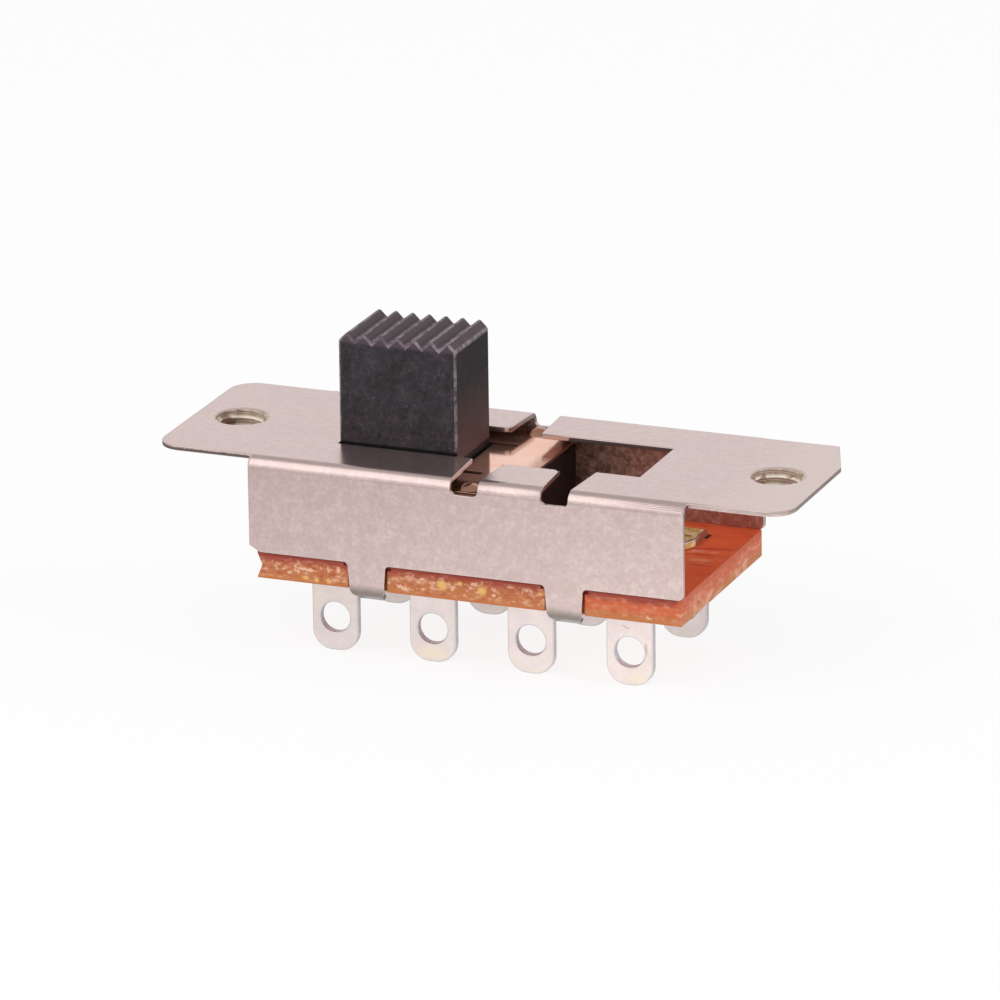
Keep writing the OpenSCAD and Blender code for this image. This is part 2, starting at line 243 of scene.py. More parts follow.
def makeFloor(s):
    half = s["floorSize"] / 2
    mesh = bpy.data.meshes.new("floor")
    corners = [(-half, -half, 0), (half, -half, 0), (half, half, 0), (-half, half, 0)]
    mesh.from_pydata(corners, [], [(0, 1, 2, 3)])
    floor = bpy.data.objects.new("floor", mesh)
    bpy.context.scene.collection.objects.link(floor)
    material, tree, place = startMaterial("paleFloor")
    ray = addNode(tree, "LightPath")
    mirrored = ray.outputs["Is Glossy Ray"]
    fromPool = vectorMath(tree, "DISTANCE", place, s["poolSpot"])
    pool = between(tree, fromPool, *s["poolReach"], *s["poolLevel"], "LINEAR")
    back = xyz(tree, place)[1]
    under = between(tree, back, *s["underEdge"], 1.0, s["underLevel"])
    behind = between(tree, back, *s["behindEdge"], 1.0, s["behindLevel"])
    level = times(tree, pool, times(tree, under, behind))
    matt = addNode(tree, "BsdfDiffuse", Color=(*s["floorColour"], 1.0))
    glow = addNode(tree, "Emission", Color=(1, 1, 1, 1), Strength=mixNumber(tree, mirrored, 1.0, level))
    seen = times(tree, ray.outputs["Is Camera Ray"], s["floorGlow"])
    share = mathNode(tree, "MAXIMUM", seen, mirrored)
    surface = addNode(tree, "MixShader", n0=share, n1=matt.outputs[0], n2=glow.outputs[0])
    endMaterial(tree, surface.outputs[0])
    mesh.materials.append(material)


def makeWorld(s):
    # white behind the object; what polished metal mirrors grows dimmer from the horizon to overhead
    world = bpy.data.worlds.new("room")
    bpy.context.scene.world = world
    world.use_nodes = True
    tree = world.node_tree
    tree.nodes.clear()
    ray = addNode(tree, "LightPath")
    way = addNode(tree, "TexCoord").outputs["Generated"]
    mirror = between(tree, xyz(tree, way)[2], *s["skyEdge"], s["skyMirror"], s["skyOverhead"])
    nearSoft = vectorMath(tree, "DOT_PRODUCT", way, s["softLight"])
    soft = between(tree, nearSoft, *s["softEdge"], 0.0, s["softLevel"])
    mirror = plus(tree, mirror, soft)
    level = mixNumber(tree, ray.outputs["Is Glossy Ray"], s["skyDiffuse"], mirror)
    level = mixNumber(tree, ray.outputs["Is Camera Ray"], level, 1.0)
    glow = addNode(tree, "Background", Color=(1, 1, 1, 1), Strength=level)
    out = tree.nodes.new("ShaderNodeOutputWorld")
    tree.links.new(glow.outputs[0], out.inputs["Surface"])


def makeLamps(s):
    for name, watts, (width, height), spot, inMetal in s["lamps"]:
        data = bpy.data.lights.new(name, "AREA")
        data.shape = "RECTANGLE"
        data.size, data.size_y = width, height
        data.energy = watts
        lamp = bpy.data.objects.new(name, data)
        bpy.context.scene.collection.objects.link(lamp)
        lamp.visible_glossy = inMetal
        lamp.location = spot
        aim = plateCentre - Vector(spot)
        lamp.rotation_mode = "QUATERNION"
        lamp.rotation_quaternion = aim.to_track_quat("-Z", "Y")


makeFloor(roomSettings)
makeWorld(roomSettings)
makeLamps(roomSettings)
bpy.context.scene.view_settings.view_transform = "Standard"
print("room made")


def patchesOf(bm):
    # faces that join smoothly form one patch; gives each patch's faces and its mean width, which is
    # the area over half the rim
    seen = set()
    patches = []
    for start in bm.faces:
        if start in seen:
            continue
        seen.add(start)
        patch, queue, rim = [], [start], 0.0
        while queue:
            face = queue.pop()
            patch.append(face)
            for edge in face.edges:
                near = [f for f in edge.link_faces if f is not face]
                if not near or face.normal.angle(near[0].normal, 0.0) > creaseAngle:
                    rim += edge.calc_length()
                elif near[0] not in seen:
                    seen.add(near[0])
                    queue.append(near[0])
        patches.append((patch, sum(f.calc_area() for f in patch) / max(rim / 2, 1e-9)))
    return patches


def solidFromNode(name):
    # the CAD node's triangles, joined into one closed mesh with flat faces whole again
    weld = 0.02 * mm
    bm = bmesh.new()
    bm.from_mesh(nodes[name].data)
    bmesh.ops.remove_doubles(bm, verts=bm.verts, dist=weld)
    bmesh.ops.dissolve_limit(bm, angle_limit=flatAngle, verts=bm.verts, edges=bm.edges)
    bm.normal_update()
    return bm


def softenEdges(bm, s, plain=None):
    # rounds every sharp edge, apart from the shorter one of two that meet in a narrow corner and those
    # whose ends both pass the test plain, and keeps the result inside the old box; the new faces get
    # 1 in the attribute wear, which the materials read
    narrow = math.radians(30)
    wear = bm.faces.layers.float.new("wear")
    low = [min(v.co[i] for v in bm.verts) for i in range(3)]
    high = [max(v.co[i] for v in bm.verts) for i in range(3)]
    sharp = {e for e in bm.edges if len(e.link_faces) == 2 and e.calc_face_angle(0.0) > creaseAngle}
    left = set()
    for face in bm.faces:
        for corner in face.loops:
            pair = (corner.edge, corner.link_loop_prev.edge)
            if pair[0] in sharp and pair[1] in sharp and corner.calc_angle() < narrow:
                left.add(min(pair, key=lambda e: e.calc_length()))
    kept = [e for e in bm.edges if e in sharp and e not in left
            and not (plain and all(plain(v.co) for v in e.verts))]
    done = bmesh.ops.bevel(bm, geom=kept, offset=s["edgeRadius"] * mm, offset_type="OFFSET",
                           segments=s["edgeSteps"], profile=0.5, affect="EDGES",
                           clamp_overlap=False, loop_slide=False)
    for face in done["faces"]:
        face[wear] = 1.0
    for vert in bm.verts:
        vert.co = [min(max(vert.co[i], low[i]), high[i]) for i in range(3)]


def finishPiece(bm, name, body, slotName, materials, *replaced):
    mesh = bpy.data.meshes.new(name)
    bm.normal_update()
    bm.to_mesh(mesh)
    bm.free()
    mesh.polygons.foreach_set("use_smooth", [True] * len(mesh.polygons))
    piece = bpy.data.objects.new(name, mesh)
    bpy.context.scene.collection.objects.link(piece)
    for material in materials:
        mesh.materials.append(material)
    shade = piece.modifiers.new("faceNormals", "WEIGHTED_NORMAL")
    shade.weight = 100
    shade.keep_sharp = True
    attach(piece, body)
    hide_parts(*replaced)


def nickelMaterial(s):
    # mottled satin plate; the grain is fainter on the flat top than on the walls, the right ear carries
    # painted light, and the tabs below the board carry painted shade
    material, tree, place = startMaterial("nickelPlate")
    side, _, height = xyz(tree, place)
    strong = between(tree, height, topZ - 0.7 * mm, topZ - 0.1 * mm, 1.0, s["topGrain"])
    cloud = noise(tree, place, 3.0, 3.0)
    mottle = noise(tree, place, s["mottle"], 3.0, 0.6)
    grain = noise(tree, place, s["grain"], 2.0, 0.6)
    tone = ramp(tree, cloud, ((0.35, s["warm"]), (0.65, s["cool"])))
    both = mixNumber(tree, 0.5, mottle, grain)
    pale = times(tree, between(tree, both, 0.50, 0.66, kind="LINEAR"), strong)
    dark = times(tree, between(tree, both, 0.50, 0.34, kind="LINEAR"), strong)
    tone = mixColour(tree, pale, tone, s["pale"])
    tone = mixColour(tree, dark, tone, s["dark"])
    # painted light: the right ear grows paler towards its end
    rightEarLightMask = times(tree, between(tree, side, *metres(s["rightEarLight"])), 0.6)
    tone = mixColour(tree, rightEarLightMask, tone, s["pale"])
    # painted shade: the tabs darken below the board, where they bend under and face the shaded floor
    # beneath the switch
    tabShadeMask = between(tree, height, boardLow.z + 0.5 * mm, boardLow.z - 0.2 * mm, 0.0, 0.95)
    tone = mixColour(tree, tabShadeMask, tone, s["tabShadeTone"])
    rough = ramp(tree, grain, ((0.3, grey(0.26)), (0.7, grey(0.22))))
    return finishMaterial(material, tree, tone, bump(tree, mottle, 0.004, 0.5),
                          Metallic=0.94, Roughness=rough)


nickelSettings = {
    "mottle": 0.60, "grain": 0.24, "topGrain": 0.40,
    "warm": (0.665, 0.516, 0.490), "cool": (0.650, 0.505, 0.490),
    "pale": (0.725, 0.592, 0.552), "dark": (0.600, 0.472, 0.438),
    "tabShadeTone": (0.24, 0.205, 0.18),
    "rightEarLight": (13.5, 17.5),      # along X, where the painted light on the right ear sets in
}
nickel = nickelMaterial(nickelSettings)


def shearedEdgeMaterial(s):
    # depth runs from 0 at the sheet's outer face to 1 at its inner face; the shear leaves a smooth band
    # first and a torn one after it, and the torn band is wide at the left ear and all but fills the
    # edge of the slot
    material, tree, place = startMaterial("nickelEdge")
    side, across, height = xyz(tree, place)
    fromMiddle = mathNode(tree, "ABSOLUTE", across)
    fromTop = mathNode(tree, "SUBTRACT", topZ, height)
    fromWall = mathNode(tree, "SUBTRACT", frameHigh.y, fromMiddle)
    depth = mathNode(tree, "DIVIDE", mathNode(tree, "MINIMUM", fromTop, fromWall), s["sheet"] * mm)
    streak = noise(tree, stretch(tree, place, (1.0, 1.0, 0.30)), 0.14, 3.0, 0.55)
    cut = between(tree, side, *metres(s["leftEar"]), s["leftBand"], s["band"])
    left, right = (between(tree, side, *metres(s[end])) for end in ("slotLeft", "slotRight"))
    slot = times(tree, left, right)
    slot = times(tree, slot, between(tree, fromMiddle, *metres(s["slotSide"])))
    cut = mixNumber(tree, slot, cut, s["slotBand"])
    cut = plus(tree, cut, times(tree, mathNode(tree, "SUBTRACT", streak, 0.5), 0.5))
    torn = between(tree, mathNode(tree, "SUBTRACT", depth, cut), -0.10, 0.14)
    tone = ramp(tree, noise(tree, place, 0.8, 2.0), ((0.38, s["dark"]), (0.62, s["light"])))
    tone = mixColour(tree, torn, tone, s["torn"])
    rough = mixNumber(tree, torn, 0.28, 0.55)
    return finishMaterial(material, tree, tone, bump(tree, streak, 0.006, 0.6),
                          Metallic=0.95, Roughness=rough)


nickelEdgeSettings = {
    "sheet": 0.3, "leftBand": 0.34, "band": 0.84, "slotBand": 0.10,
    # where one band gives way to another, along X, and for the slot's sides away from the middle
    "leftEar": (-13.4, -13.0), "slotLeft": (2.6, 2.8), "slotRight": (9.3, 9.1), "slotSide": (4.2, 4.0),
    "light": (0.66, 0.52, 0.485), "dark": (0.56, 0.44, 0.41), "torn": (0.17, 0.135, 0.125),
}
nickelEdge = shearedEdgeMaterial(nickelEdgeSettings)


def innerWallMaterial(s):
    # the dull inner faces with their stains, and a painted reflection of the red board that grows towards
    # the open end
    material, tree, place = startMaterial("stainedInside")
    cloud = noise(tree, place, 0.50, 4.0, 0.70, 0.6)
    fleck = noise(tree, place, 0.20, 3.0, 0.7)
    tone = ramp(tree, cloud, ((0.36, s["dark"]), (0.50, s["middle"]), (0.62, s["light"])))
    # painted reflection of the red board, stronger towards the open end
    red = between(tree, xyz(tree, place)[0], *metres(s["boardReflectionReach"]), 0.0, 0.8, "LINEAR")
    tone = mixColour(tree, red, tone, s["red"])
    tone = mixColour(tree, between(tree, fleck, 0.56, 0.70, 0.0, 0.60), tone, s["fleck"])
    relief = bump(tree, plus(tree, cloud, fleck), 0.02, 0.6)
    return finishMaterial(material, tree, tone, relief, Metallic=0.25, Roughness=0.55)


stainedInsideSettings = {
    "dark": (0.17, 0.110, 0.090), "middle": (0.36, 0.250, 0.210), "light": (0.56, 0.400, 0.34),
    "red": (0.46, 0.14, 0.09), "fleck": (0.80, 0.68, 0.62), "boardReflectionReach": (3.0, 12.0),
}
stainedInside = innerWallMaterial(stainedInsideSettings)


def threadMaterial(s):
    # pale crests and brown roots, told apart by the distance from the hole's own axis
    material, tree, place = startMaterial("tappedThread")
    side, across, _ = xyz(tree, place)
    off = mathNode(tree, "SUBTRACT", mathNode(tree, "ABSOLUTE", side), frameHigh.x - s["holeInset"] * mm)
    away = vectorMath(tree, "LENGTH", addNode(tree, "CombineXYZ", X=off, Y=across).outputs[0])
    radius = s["boreRadius"]
    root = between(tree, away, (radius + 0.02) * mm, (radius + 0.7 * s["depth"]) * mm)
    cloud = noise(tree, place, 0.60, 4.0, 0.65, 0.5)
    beside = between(tree, mathNode(tree, "ABSOLUTE", off), 0.5 * mm, 1.2 * mm, 0.0, 0.10)
    patchy = plus(tree, cloud, beside)
    crest = ramp(tree, cloud, ((0.40, s["crest"]), (0.60, s["crestRosy"])))
    hollow = ramp(tree, cloud, ((0.42, s["rootOlive"]), (0.60, s["root"])))
    tone = mixColour(tree, times(tree, root, 0.85), crest, hollow)
    tone = mixColour(tree, between(tree, patchy, 0.54, 0.64, 0.0, 0.80), tone, s["stain"])
    lip = between(tree, away, (radius + 0.20) * mm, (radius + 0.34) * mm)
    tone = mixColour(tree, lip, tone, s["lipTone"])
    relief = bump(tree, noise(tree, place, 0.16, 3.0), 0.010, 0.5)
    return finishMaterial(material, tree, tone, relief, Metallic=0.55, Roughness=0.34)


threadSettings = {
    "boreRadius": 1.25, "lip": 0.40, "depth": 0.28, "pitch": 0.5, "fade": 0.12, "lead": 0.03, "start": 0.55,
    "dip": 0.11, "around": 120, "lipRows": 26, "boreRows": 36, "holeInset": 2.82,
    "crest": (0.88, 0.82, 0.70), "crestRosy": (0.82, 0.66, 0.58), "lipTone": (0.62, 0.49, 0.46),
    "root": (0.30, 0.17, 0.13), "rootOlive": (0.48, 0.40, 0.26), "stain": (0.30, 0.16, 0.11),
}
tappedThread = threadMaterial(threadSettings)


def tinMaterial(s):
    # satin tin with painted shade towards the left, cream and brown stains and greyer punched rims
    material, tree, place = startMaterial("tinnedLug")
    cloud = noise(tree, place, 1.1, 3.0, 0.6, 0.4)
    grain = noise(tree, place, 0.50, 3.0, 0.55)
    tone = ramp(tree, cloud, ((0.36, s["bright"]), (0.64, s["shaded"])))
    # painted shade: the lugs grow darker towards the left
    left = between(tree, xyz(tree, place)[0], *metres(s["leftShadeReach"]), 0.55, 0.0, "LINEAR")
    tone = mixColour(tree, left, tone, s["leftShadeTone"])
    tone = mixColour(tree, between(tree, grain, 0.50, 0.74, 0.0, 0.35), tone, s["speckle"])
    cream = between(tree, noise(tree, place, 1.7, 3.0, 0.6), 0.52, 0.68, 0.0, 0.6)
    cream = mathNode(tree, "MAXIMUM", cream, marks(tree, place, 0.5, s["creamSpots"]))
    tone = mixColour(tree, cream, tone, s["cream"])
    stain = between(tree, noise(tree, place, 0.45, 4.0, 0.7), 0.66, 0.78, 0.0, 0.5)
    spots = times(tree, marks(tree, place, 0.3, s["stainSpots"]), 0.7)
    stain = mathNode(tree, "MAXIMUM", stain, spots)
    tone = mixColour(tree, stain, tone, s["stain"])
    rim = addNode(tree, "Attribute", {"attribute_name": "wear"}).outputs["Fac"]
    tone = mixColour(tree, times(tree, rim, 0.75), tone, s["rim"])
    rough = ramp(tree, cloud, ((0.3, grey(0.24)), (0.75, grey(0.38))))
    relief = bump(tree, plus(tree, grain, times(tree, cloud, 2.5)), 0.004, 0.5)
    return finishMaterial(material, tree, tone, relief, Metallic=0.97, Roughness=rough)


tinSettings = {
    "bright": (0.835, 0.722, 0.695), "shaded": (0.775, 0.675, 0.655), "speckle": (0.90, 0.80, 0.76),
    "leftShadeTone": (0.73, 0.64, 0.62), "leftShadeReach": (-9.0, 3.0), "rim": (0.60, 0.57, 0.56),
    "cream": (0.84, 0.73, 0.61), "stain": (0.56, 0.42, 0.30),
    # centre, half lengths and tilt
    "creamSpots": (((-2.88, -4.6, 0.55), (1.2, 0.6, 0.45), 0), ((9.6, -4.6, 0.5), (0.8, 0.6, 0.35), 0)),
    "stainSpots": (((10.1, -4.6, 2.3), (0.12, 0.5, 0.40), 0), ((9.95, -4.6, 1.7), (0.10, 0.5, 0.22), 20),
                   ((8.9, -4.6, 3.5), (0.30, 0.5, 0.06), 10)),
}
tin = tinMaterial(tinSettings)


def punchedEdgeMaterial(name, dark, light, metallic, rough):
    # fine streaks along the way that the punch went
    material, tree, place = startMaterial(name)
    streak = noise(tree, stretch(tree, place, (1.0, 0.3, 1.0)), 0.10, 3.0, 0.55)
    tone = ramp(tree, streak, ((0.38, dark), (0.62, light)))
    return finishMaterial(material, tree, tone, bump(tree, streak, 0.006, 0.6),
                          Metallic=metallic, Roughness=rough)


tinEdge = punchedEdgeMaterial("tinEdge", (0.46, 0.435, 0.43), (0.62, 0.59, 0.585), 0.95, 0.32)
lugHoleWall = punchedEdgeMaterial("lugHoleWall", (0.52, 0.60, 0.66), (0.68, 0.76, 0.82), 0.0, 0.60)


def padMaterial(s):
    # the pads' rough brass, pinkish where the plating is left
    material, tree, place = startMaterial("wornContactPad")
    lump = noise(tree, place, 0.55, 3.0, 0.65, 0.6)
    fine = noise(tree, place, 0.14, 3.0, 0.65)
    tone = ramp(tree, lump, ((0.34, s["brown"]), (0.48, s["brass"]), (0.60, s["pale"]), (0.68, s["rosy"])))
    relief = bump(tree, plus(tree, lump, times(tree, fine, 0.3)), 0.12, 0.8)
    return finishMaterial(material, tree, tone, relief, Metallic=0.10, Roughness=0.42)


contactPadSettings = {
    "brown": (0.50, 0.24, 0.10), "brass": (0.82, 0.56, 0.17),
    "pale": (0.95, 0.82, 0.50), "rosy": (0.90, 0.62, 0.56),
}
contactPad = padMaterial(contactPadSettings)


def bronzeMaterial(name, bright, dull, rough, oxideAndShade=None, rightEnd=0.0):
    # the given oxide colour lies past the middle strip that the knob's travel keeps clean, and a thin band
    # of the same colour along the right end is painted shade, where the spring runs under the plate
    material, tree, place = startMaterial(name)
    cloud = noise(tree, place, 2.2, 3.0, 0.55, 0.5)
    rolled = noise(tree, stretch(tree, place, (1.0, 0.12, 1.0)), 0.09, 2.0, 0.5)
    tone = ramp(tree, cloud, ((0.4, bright), (0.7, dull)))
    if oxideAndShade:
        side, across, _ = xyz(tree, place)
        away = mathNode(tree, "ABSOLUTE", across)
        away = plus(tree, away, times(tree, cloud, 0.6 * mm))
        tone = mixColour(tree, between(tree, away, 4.3 * mm, 5.2 * mm, 0.0, 0.9), tone, oxideAndShade)
        # painted shade along the right end, where the spring runs under the plate
        along = plus(tree, side, times(tree, rolled, 0.5 * mm))
        atEnd = between(tree, along, rightEnd - 0.9 * mm, rightEnd + 0.1 * mm, 0.0, 0.85)
        tone = mixColour(tree, atEnd, tone, oxideAndShade)
    shine = ramp(tree, rolled, ((0.3, grey(rough[0])), (0.7, grey(rough[1]))))
    return finishMaterial(material, tree, tone, bump(tree, rolled, 0.0012, 0.5),
                          Metallic=0.92, Roughness=shine)


bronze = bronzeMaterial("springBronze", (0.93, 0.57, 0.445), (0.90, 0.49, 0.36), (0.09, 0.13),
                        (0.40, 0.19, 0.12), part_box("detent_spring")[1].x)
contactBronze = bronzeMaterial("contactBronze", (0.80, 0.62, 0.36), (0.66, 0.47, 0.24), (0.17, 0.26))
wire = bronzeMaterial("springWire", (0.56, 0.55, 0.56), (0.42, 0.41, 0.42), (0.17, 0.26))


def plasticMaterial(s):
    # dark, mottled moulding with fine pale specks, and pale rubbed edges
    material, tree, place = startMaterial("blackPlastic")
    cloud = noise(tree, place, 1.0, 4.0, 0.65, 0.6)
    mottle = noise(tree, place, 0.32, 4.0, 0.7, 0.8)
    speck = noise(tree, place, 0.12, 2.0, 0.6)
    both = mixNumber(tree, 0.55, cloud, mottle)
    tone = ramp(tree, both, ((0.38, s["dark"]), (0.50, s["middle"]), (0.64, s["light"])))
    smear = noise(tree, stretch(tree, place, (1.0, 1.0, 0.35)), 0.45, 4.0, 0.7, 1.2)
    tone = mixColour(tree, between(tree, smear, 0.56, 0.74, 0.0, 0.30), tone, s["smear"])
    dusty = between(tree, cloud, 0.46, 0.62, 0.15, 0.75)
    dust = times(tree, between(tree, speck, 0.64, 0.78), dusty)
    tone = mixColour(tree, dust, tone, s["dust"])
    side, _, height = xyz(tree, place)
    # the right face is painted in shade, and its low part carries a painted reddish reflection of the board
    onRight = between(tree, side, s["rightFace"] - 0.03 * mm, s["rightFace"])
    tone = mixColour(tree, times(tree, onRight, 0.6), tone, s["shaded"])
    boardReflectionMask = times(tree, onRight, between(tree, height, topZ + 4.0 * mm, topZ, 0.0, 0.9, "LINEAR"))
    tone = mixColour(tree, boardReflectionMask, tone, s["boardReflection"])
    # painted shadow of the gap at the foot, just above the plate, and on the right face only where it meets
    # the spring
    foot = plus(tree, height, times(tree, onRight, s["rightFoot"]))
    footShade = between(tree, foot, topZ + 0.16 * mm, topZ + 0.08 * mm, 0.0, 0.9)
    tone = mixColour(tree, footShade, tone, s["foot"])
    rub = addNode(tree, "Attribute", {"attribute_name": "wear"}).outputs["Fac"]
    purple = between(tree, height, s["ridgeFoot"] - 0.25 * mm, s["ridgeFoot"] + 0.05 * mm, 0.0, 0.75)
    tone = mixColour(tree, purple, tone, s["ridges"])
    patchy = between(tree, noise(tree, place, 0.55, 3.0, 0.65), 0.36, 0.64, 0.15, 0.80)
    rub = times(tree, rub, between(tree, height, topZ, topZ + 0.3 * mm))
    tone = mixColour(tree, times(tree, rub, patchy), tone, s["worn"])
    relief = plus(tree, speck, times(tree, mottle, 1.5))
    rough = ramp(tree, mottle, ((0.3, grey(0.44)), (0.7, grey(0.60))))
    return finishMaterial(material, tree, tone, bump(tree, relief, 0.016, 0.6),
                          Roughness=rough, Specular_IOR_Level=0.20)


knobRight = max(v.co.x for v in nodes["slider"].data.vertices if v.co.z > knobOnly)
blackPlasticSettings = {
    "dark": (0.0150, 0.0130, 0.0150), "middle": (0.0270, 0.0220, 0.0260), "light": (0.0480, 0.0380, 0.0440),
    "smear": (0.095, 0.080, 0.088), "dust": (0.20, 0.18, 0.19), "worn": (0.26, 0.21, 0.235),
    "foot": (0.002, 0.002, 0.002), "ridges": (0.078, 0.054, 0.065), "ridgeFoot": topZ + 6.1 * mm,
    "shaded": (0.010, 0.008, 0.008), "boardReflection": (0.080, 0.038, 0.034), "rightFace": knobRight,
    "rightFoot": 0.55 * mm,
}
blackPlastic = plasticMaterial(blackPlasticSettings)


def laminateMaterial(s):
    # saturated resin with long low ripples, dark in the valleys, with painted glints on the crests and at
    # the listed glint spots
    material, tree, place = startMaterial("phenolicFace")
    cloud = noise(tree, place, 2.6, 3.0, 0.6, 0.6)
    ripple = noise(tree, stretch(tree, place, (0.28, 1.0, 1.0)), 0.42, 3.0, 0.6, 0.5)
    tone = ramp(tree, cloud, ((0.32, s["deep"]), (0.68, s["bright"])))
    tone = mixColour(tree, between(tree, ripple, 0.46, 0.34, 0.0, 0.5), tone, s["valley"])
    # painted glints on the crests of the ripples
    tone = mixColour(tree, between(tree, ripple, 0.58, 0.74, 0.0, 0.35), tone, s["crest"])
    # the dark streaks, and the pink spots as painted glints
    for spots, strength, colour in ((s["darkStreaks"], 0.8, s["valley"]), (s["paintedGlints"], 0.75, s["paintedGlint"])):
        marked = times(tree, marks(tree, place, 0.30, spots, 2), strength)
        tone = mixColour(tree, marked, tone, colour)
    return finishMaterial(material, tree, tone, bump(tree, ripple, 0.05, 0.7),
                          Roughness=0.30, Specular_IOR_Level=0.18)


laminateSettings = {
    "deep": (0.86, 0.128, 0.045), "bright": (0.95, 0.184, 0.069),
    "valley": (0.58, 0.059, 0.029), "crest": (0.96, 0.25, 0.13), "paintedGlint": (0.92, 0.36, 0.27),
    # centre, half lengths and tilt, on the top face by the open end and on the underside
    "darkStreaks": (((11.4, 2.3, 6.2), (1.6, 0.20, 0.5), 12), ((11.2, 1.2, 6.2), (1.1, 0.20, 0.5), 8),
                ((11.9, -0.6, 6.2), (0.7, 0.16, 0.5), 5), ((9.0, -5.4, 4.6), (1.2, 0.15, 0.5), 15)),
    "paintedGlints": (((11.6, 0.3, 6.2), (0.75, 0.24, 0.5), 6), ((10.9, 1.75, 6.2), (0.5, 0.18, 0.5), 10),
                ((11.9, 1.8, 6.2), (0.35, 0.14, 0.5), 10), ((8.4, -5.0, 4.6), (0.8, 0.2, 0.5), 15)),
}
laminate = laminateMaterial(laminateSettings)


def sawnLaminateMaterial(s):
    # from top to bottom: painted shadow of the walls' overhang, dark at the very top and deep red below it
    # and faint on the right end, then torn pinkish paper over orange brown
    material, tree, place = startMaterial("phenolicEdge")
    side, _, height = xyz(tree, place)
    rise = between(tree, height, boardLow.z, boardHigh.z, kind="LINEAR")
    layer = noise(tree, stretch(tree, place, (0.12, 0.12, 1.0)), 0.12, 4.0, 0.6)
    patch = noise(tree, stretch(tree, place, (0.45, 0.45, 1.0)), 0.70, 4.0, 0.65, 0.6)
    uneven = times(tree, mathNode(tree, "SUBTRACT", patch, 0.5), 0.55)
    uneven = plus(tree, rise, uneven)
    clean = between(tree, side, *metres(s["cleanReach"]))      # the shear cut cleaner towards the right
    end = between(tree, side, *metres(s["endReach"]))          # 1 on the right end, 0 on the long sides
    long = mathNode(tree, "SUBTRACT", 1.0, end)
    paper = mixColour(tree, clean, s["paper"], s["paperClean"])
    tone = mixColour(tree, between(tree, uneven, 0.10, 0.50), s["low"], paper)
    # painted shadow of the walls' overhang: a deep red band, faint on the right end
    faint = plus(tree, times(tree, long, 0.8), 0.2)
    crimson = times(tree, between(tree, uneven, 0.56, 0.84), faint)
    tone = mixColour(tree, crimson, tone, s["crimson"])
    tone = mixColour(tree, between(tree, layer, 0.46, 0.72, 0.0, 0.25), tone, s["fibre"])
    # painted shadow right under the walls, on the long sides only
    wallShadowMask = times(tree, between(tree, rise, 0.88, 0.98, 0.0, 0.8), long)
    tone = mixColour(tree, wallShadowMask, tone, s["skin"])
    middle = times(tree, between(tree, rise, 0.04, 0.22), between(tree, rise, 0.90, 0.70))
    torn = noise(tree, stretch(tree, place, (0.6, 0.6, 1.0)), 0.42, 4.0, 0.6, 0.6)
    crumb = noise(tree, stretch(tree, place, (0.7, 0.7, 1.0)), 0.25, 3.0, 0.5)
    busy = times(tree, middle, between(tree, clean, 0.0, 1.0, 1.0, 0.35))
    loose = times(tree, between(tree, torn, 0.50, 0.70, 0.0, 0.65), busy)
    tone = mixColour(tree, loose, tone, s["pale"])
    dots = times(tree, between(tree, crumb, 0.52, 0.72, 0.0, 0.70), busy)
    tone = mixColour(tree, dots, tone, s["cream"])
    pits = times(tree, between(tree, crumb, 0.46, 0.30, 0.0, 0.60), busy)
    tone = mixColour(tree, pits, tone, s["crimson"])
    for spots, strength, colour in ((s["creamChips"], 0.75, s["cream"]), (s["goldChips"], 0.85, s["gold"])):
        marked = times(tree, marks(tree, place, 0.34, spots), strength)
        tone = mixColour(tree, marked, tone, colour)
    streak = times(tree, end, between(tree, patch, 0.46, 0.62, 0.0, 0.55))
    tone = mixColour(tree, times(tree, streak, between(tree, rise, 0.85, 0.35)), tone, s["endStreak"])
    relief = plus(tree, layer, times(tree, torn, 2.0))
    return finishMaterial(material, tree, tone, bump(tree, relief, 0.03, 0.7),
                          Roughness=0.50, Specular_IOR_Level=0.25)


sawnLaminateSettings = {
    "low": (0.46, 0.155, 0.050), "paper": (0.42, 0.130, 0.048), "paperClean": (0.53, 0.110, 0.040),
    "crimson": (0.30, 0.048, 0.030), "skin": (0.16, 0.030, 0.018), "fibre": (0.56, 0.26, 0.17),
    "pale": (0.66, 0.36, 0.22), "cream": (0.76, 0.50, 0.34), "gold": (0.70, 0.42, 0.12),
    "endStreak": (0.74, 0.44, 0.32), "cleanReach": (4.0, 7.0), "endReach": (12.6, 12.9),
    # centre, half lengths and tilt
    "creamChips": (
        ((-3.88, -6.6, 4.98), (0.48, 0.6, 0.11), 24), ((-2.64, -6.6, 5.66), (0.14, 0.6, 0.10), 0),
        ((-9.75, -6.6, 5.42), (0.75, 0.6, 0.10), 3), ((-10.8, -6.6, 5.16), (0.15, 0.6, 0.12), 0),
        ((-7.80, -6.6, 5.60), (0.12, 0.6, 0.24), 10), ((11.05, -6.6, 4.92), (0.22, 0.6, 0.10), 20),
        ((1.70, -6.6, 5.18), (0.16, 0.6, 0.11), 0)),
    "goldChips": (
        ((-1.47, -6.6, 5.42), (0.33, 0.6, 0.30), 20), ((1.00, -6.6, 5.36), (0.29, 0.6, 0.28), 20),
        ((-0.36, -6.6, 5.64), (0.17, 0.6, 0.10), 0), ((-9.84, -6.6, 4.92), (0.22, 0.6, 0.13), 10),
        ((-9.15, -6.6, 4.84), (0.17, 0.6, 0.12), 10), ((-8.40, -6.6, 4.87), (0.20, 0.6, 0.13), 0),
        ((4.50, -6.6, 5.58), (0.16, 0.6, 0.09), 0)),
}
sawnLaminate = sawnLaminateMaterial(sawnLaminateSettings)
print("materials made")


def markThin(bm, widest):
    # patches no wider than the sheet is thick are its sheared edges
    for patch, width in patchesOf(bm):
        if width < widest * mm:
            for face in patch:
                face.material_index = edgeFinish


